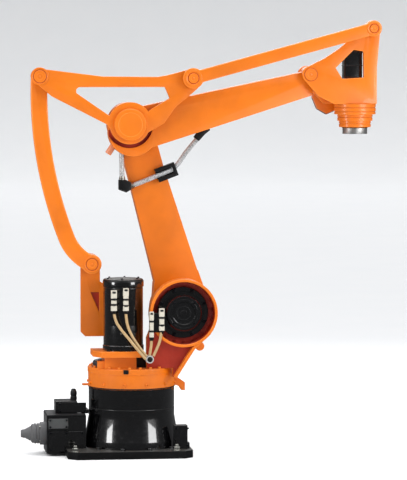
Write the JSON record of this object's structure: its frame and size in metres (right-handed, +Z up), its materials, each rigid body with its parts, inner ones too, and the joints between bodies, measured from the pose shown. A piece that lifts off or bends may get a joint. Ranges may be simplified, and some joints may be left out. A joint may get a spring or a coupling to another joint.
{
  "type": "four-axis palletising robot arm",
  "caption": "Floor-standing palletising robot with a turning carousel, a swinging link arm, a levelled upper arm worked by parallel rods, and a wrist with a turning tool flange.",
  "frame": {"origin": "on the floor under the base plate, on the axis about which the carousel turns", "axes": "+Z up along the carousel's axis, +X forward along the upper arm, +Y towards the side that carries the link arm"},
  "size_m": [2.3183, 0.777, 2.7898],
  "materials": {
    "orange_paint": "semi-gloss orange enamel on cast iron and aluminium castings",
    "black_paint": "glossy black enamel",
    "bright_steel": "machined steel",
    "black_plastic": "moulded black nylon",
    "pale_plastic": "off-white moulded plug",
    "cable_sheath": "tan cable sheath",
    "grey_hose": "silver-grey hose sheath"
  },
  "bodies": {
    "base": {"base_plate": "black_paint", "base_column": "black_paint", "connector_box": "black_paint", "upper_box": "black_paint", "cable_gland": "black_plastic", "supply_plug": "pale_plastic", "side_block": "black_paint"},
    "carousel": {"turntable": "orange_paint", "motor_plate": "orange_paint", "swing_motor": "black_paint", "carousel_frame": "orange_paint", "motor_adapter": "black_paint", "shoulder_motor": "black_paint", "rod_bracket": "orange_paint", "carousel_front_stop": "orange_paint", "swing_motor_plugs": "pale_plastic", "shoulder_motor_rim_plug": "pale_plastic", "shoulder_motor_ring_plug": "pale_plastic", "conduit_mouth": "black_plastic", "carousel_conduit": "black_plastic", "swing_motor_cables": "cable_sheath", "shoulder_motor_cables": "cable_sheath", "bracket_pin": "bright_steel"},
    "link_arm": {"link_arm": "orange_paint", "elbow_gear": "orange_paint", "elbow_shaft": "bright_steel", "elbow_motor": "black_paint", "elbow_stop": "orange_paint", "hose_fittings": "black_plastic", "hose_guide": "black_plastic", "upright_hose": "grey_hose", "cross_hose": "grey_hose"},
    "lever": {"lever": "orange_paint", "lever_cap": "orange_paint", "lever_rear_pin": "bright_steel", "lever_front_pin": "bright_steel"},
    "upper_arm": {"upper_arm": "orange_paint", "arm_hose_fitting": "black_plastic", "elbow_hose": "grey_hose", "wrist_pin": "bright_steel"},
    "curved_rod": {"curved_rod": "orange_paint"},
    "top_rod": {"top_rod": "orange_paint"},
    "wrist": {"wrist_plate": "orange_paint", "wrist_block": "orange_paint", "wrist_far_plate": "orange_paint", "wrist_side_cover": "orange_paint", "wrist_motor": "black_paint", "wrist_gearbox": "orange_paint", "wrist_lower_ring": "orange_paint", "wrist_top_pin": "bright_steel"},
    "flange": {"tool_flange": "bright_steel"}
  },
  "joints": [
    {"name": "carousel_turn", "type": "hinge", "parent": "base", "child": "carousel", "pos_m": [0, 0, 0.4315], "axis": [0, 0, 1], "range_deg": [-185, 185]},
    {"name": "link_arm_swing", "type": "hinge", "parent": "carousel", "child": "link_arm", "pos_m": [0.313, 0, 0.92], "axis": [0, 1, 0], "range_deg": [-20, 85], "deforming": ["elbow_hose"]},
    {"name": "lever_level", "type": "hinge", "parent": "link_arm", "child": "lever", "pos_m": [-0.02105, 0, 2.12454], "axis": [0, 1, 0], "range_deg": [-85, 20]},
    {"name": "arm_swing", "type": "hinge", "parent": "lever", "child": "upper_arm", "pos_m": [-0.02105, 0, 2.12454], "axis": [0, 1, 0], "range_deg": [-10, 45], "deforming": ["elbow_hose"]},
    {"name": "wrist_level", "type": "hinge", "parent": "upper_arm", "child": "wrist", "pos_m": [1.14634, 0, 2.44281], "axis": [0, 1, 0], "range_deg": [-45, 10]},
    {"name": "flange_turn", "type": "hinge", "parent": "wrist", "child": "flange", "pos_m": [1.45135, -0.052, 2.05881], "axis": [0, 0, 1], "range_deg": [-350, 350]},
    {"name": "curved_rod_swing", "type": "hinge", "parent": "carousel", "child": "curved_rod", "pos_m": [-0.263, 0, 1.228], "axis": [0, 1, 0], "range_deg": [-20, 85]},
    {"name": "top_rod_swing", "type": "hinge", "parent": "lever", "child": "top_rod", "pos_m": [0.38095, 0, 2.41954], "axis": [0, 1, 0], "range_deg": [-10, 45]}
  ],
  "couplings": [
    {"joint": "lever_level", "follows": "link_arm_swing", "ratio": -1},
    {"joint": "curved_rod_swing", "follows": "link_arm_swing", "ratio": 1},
    {"joint": "wrist_level", "follows": "arm_swing", "ratio": -1},
    {"joint": "top_rod_swing", "follows": "arm_swing", "ratio": 1}
  ]
}
